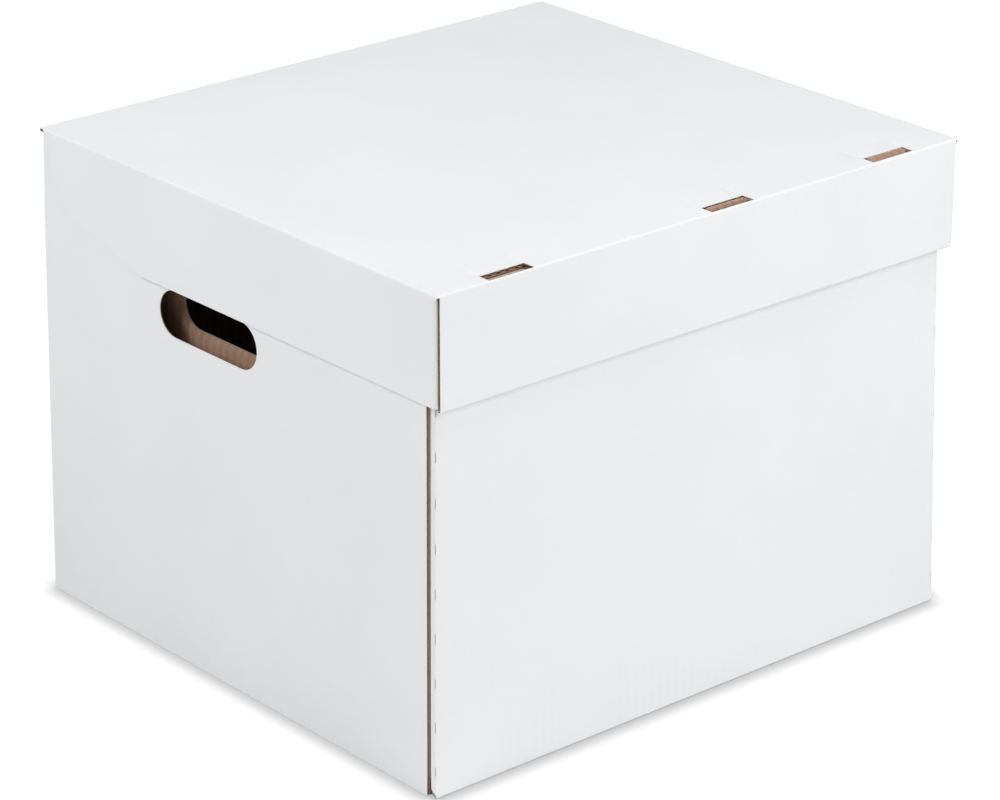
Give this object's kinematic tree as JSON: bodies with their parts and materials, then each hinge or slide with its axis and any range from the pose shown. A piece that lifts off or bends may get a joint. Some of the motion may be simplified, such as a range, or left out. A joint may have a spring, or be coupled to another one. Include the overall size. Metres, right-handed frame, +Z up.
{
  "type": "archival box",
  "caption": "Free-standing archive box folded from white corrugated board, with a hinged overlapping lid, rolled double side walls and a stadium-shaped hand hole in each side.",
  "frame": {"origin": "centre of the underside of the base panel, midway between the side walls and midway between the front and rear walls", "axes": "+Z up, -Y out of the front wall, +X to the right along the front wall as seen from the front; the lid hinges along X at the top of the rear wall"},
  "size_m": [0.4052, 0.3745, 0.3045],
  "materials": {
    "white_board": "matte",
    "kraft_board": "matte"
  },
  "bodies": {
    "box": {"base_panel": "white_board", "front_wall": "white_board", "rear_wall": "white_board", "left_base_flap": "kraft_board", "left_front_flap": "white_board", "left_outer_wall": "white_board", "left_top_rail": "white_board", "left_inner_wall": "kraft_board", "right_base_flap": "kraft_board", "right_front_flap": "white_board", "right_outer_wall": "white_board", "right_top_rail": "white_board", "right_inner_wall": "kraft_board"},
    "lid": {"lid_top_panel": "white_board", "lid_front_outer": "white_board", "lid_front_fold": "white_board", "lid_front_inner": "kraft_board", "lid_left_flap": "white_board", "lid_left_corner_tab": "kraft_board", "lid_right_flap": "white_board", "lid_right_corner_tab": "kraft_board"}
  },
  "joints": [
    {"name": "lid_hinge", "type": "hinge", "parent": "box", "child": "lid", "pos_m": [0, 0.183, 0.3031], "axis": [-1, 0, 0], "range_deg": [0, 225]}
  ]
}
